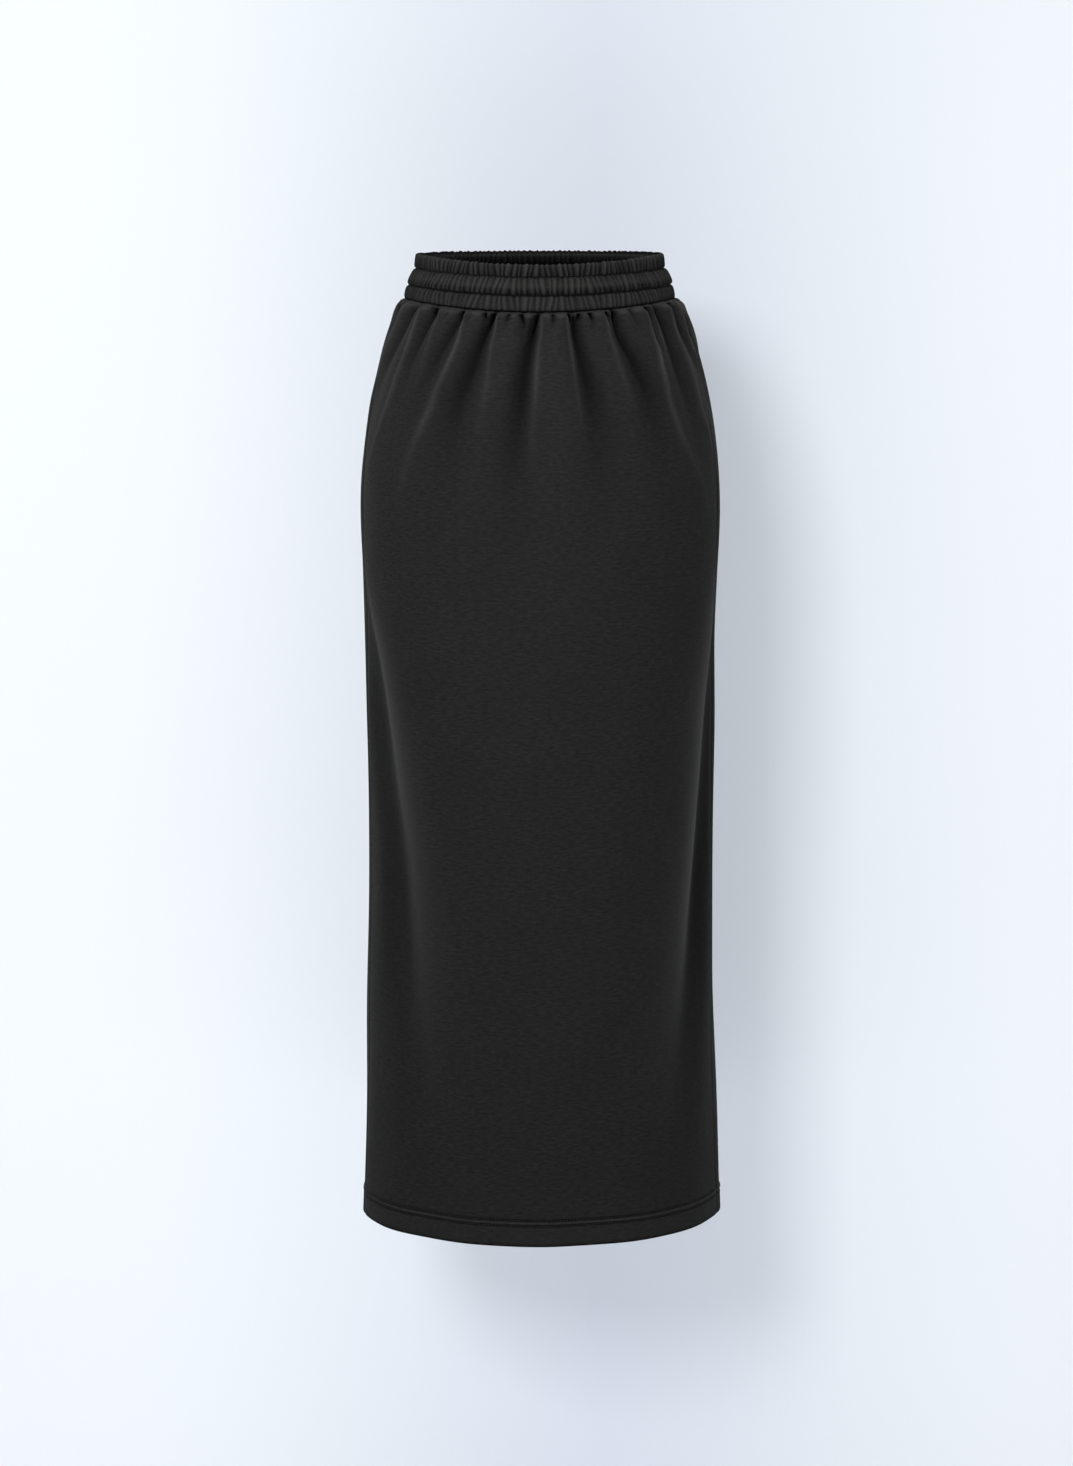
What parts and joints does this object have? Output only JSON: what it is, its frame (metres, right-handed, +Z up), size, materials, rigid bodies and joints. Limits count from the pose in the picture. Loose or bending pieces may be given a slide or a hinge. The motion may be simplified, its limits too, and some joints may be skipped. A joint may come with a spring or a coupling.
{
  "type": "midi skirt",
  "caption": "Pull-on midi skirt in plain knit: a long straight body gathered into a puffed elasticated waistband, with side seams and a turned hem, hollow in its worn form.",
  "frame": {"origin": "on the waist's axis, at the middle of the waistband's height, where the wearer's waist holds the skirt", "axes": "+Z up along the wearer, -Y to the front, +X to the wearer's left"},
  "size_m": [0.3416, 0.2508, 0.905],
  "materials": {
    "body_knit": "matt brushed cotton knit",
    "band_knit": "matt cotton knit, gathered"
  },
  "bodies": {
    "root": {"front_panel": "body_knit", "back_panel": "body_knit", "waistband_front": "band_knit", "waistband_back": "band_knit"}
  },
  "joints": []
}
